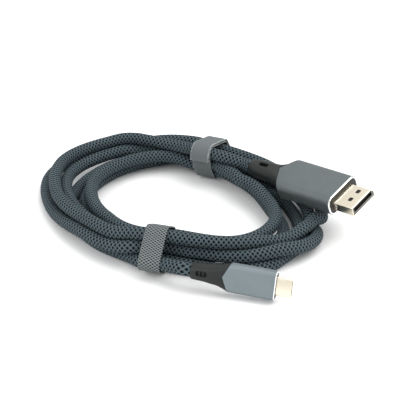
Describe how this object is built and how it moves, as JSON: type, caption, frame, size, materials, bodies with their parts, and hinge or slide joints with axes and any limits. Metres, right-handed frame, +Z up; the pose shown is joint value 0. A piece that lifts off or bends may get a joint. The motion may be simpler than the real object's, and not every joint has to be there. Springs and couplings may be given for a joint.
{
  "type": "video cable",
  "caption": "Braided video cable with a slim reversible plug and a keyed display plug, wound in a loose oval coil held by hook-and-loop straps.",
  "frame": {"origin": "on the surface the coil lies on, under the middle of the box round the two plugs and the two straps", "axes": "+Z up, +Y away from the viewer of the picture, +X to the viewer's right"},
  "size_m": [0.157, 0.1468, 0.027],
  "materials": {
    "braid": "woven braid, matte",
    "hook_and_loop": "woven and looped, matte",
    "rubber": "satin",
    "slim_housing": "anodised, satin",
    "display_housing": "anodised, satin",
    "insert": "matte",
    "shell": "pale gold plating, polished",
    "insulator": "matte",
    "contact": "gold plating, polished"
  },
  "bodies": {
    "root": {"braided_cable": "braid", "display_plug_boot": "rubber", "display_plug_contact_block": "insulator", "display_plug_contact_lower_01": "contact", "display_plug_contact_lower_02": "contact", "display_plug_contact_lower_03": "contact", "display_plug_contact_lower_04": "contact", "display_plug_contact_lower_05": "contact", "display_plug_contact_lower_06": "contact", "display_plug_contact_lower_07": "contact", "display_plug_contact_lower_08": "contact", "display_plug_contact_lower_09": "contact", "display_plug_contact_lower_10": "contact", "display_plug_contact_upper_01": "contact", "display_plug_contact_upper_02": "contact", "display_plug_contact_upper_03": "contact", "display_plug_contact_upper_04": "contact", "display_plug_contact_upper_05": "contact", "display_plug_contact_upper_06": "contact", "display_plug_contact_upper_07": "contact", "display_plug_contact_upper_08": "contact", "display_plug_contact_upper_09": "contact", "display_plug_contact_upper_10": "contact", "display_plug_housing": "display_housing", "display_plug_insert": "insert", "display_plug_shell": "shell", "slim_plug_boot": "rubber", "slim_plug_contact_block": "insulator", "slim_plug_contact_lower_01": "contact", "slim_plug_contact_lower_02": "contact", "slim_plug_contact_lower_03": "contact", "slim_plug_contact_lower_04": "contact", "slim_plug_contact_lower_05": "contact", "slim_plug_contact_lower_06": "contact", "slim_plug_contact_lower_07": "contact", "slim_plug_contact_lower_08": "contact", "slim_plug_contact_lower_09": "contact", "slim_plug_contact_lower_10": "contact", "slim_plug_contact_lower_11": "contact", "slim_plug_contact_lower_12": "contact", "slim_plug_contact_upper_01": "contact", "slim_plug_contact_upper_02": "contact", "slim_plug_contact_upper_03": "contact", "slim_plug_contact_upper_04": "contact", "slim_plug_contact_upper_05": "contact", "slim_plug_contact_upper_06": "contact", "slim_plug_contact_upper_07": "contact", "slim_plug_contact_upper_08": "contact", "slim_plug_contact_upper_09": "contact", "slim_plug_contact_upper_10": "contact", "slim_plug_contact_upper_11": "contact", "slim_plug_contact_upper_12": "contact", "slim_plug_housing": "slim_housing", "slim_plug_insert": "insert", "slim_plug_shell": "shell", "strap_back": "hook_and_loop", "strap_front": "hook_and_loop"}
  },
  "joints": []
}
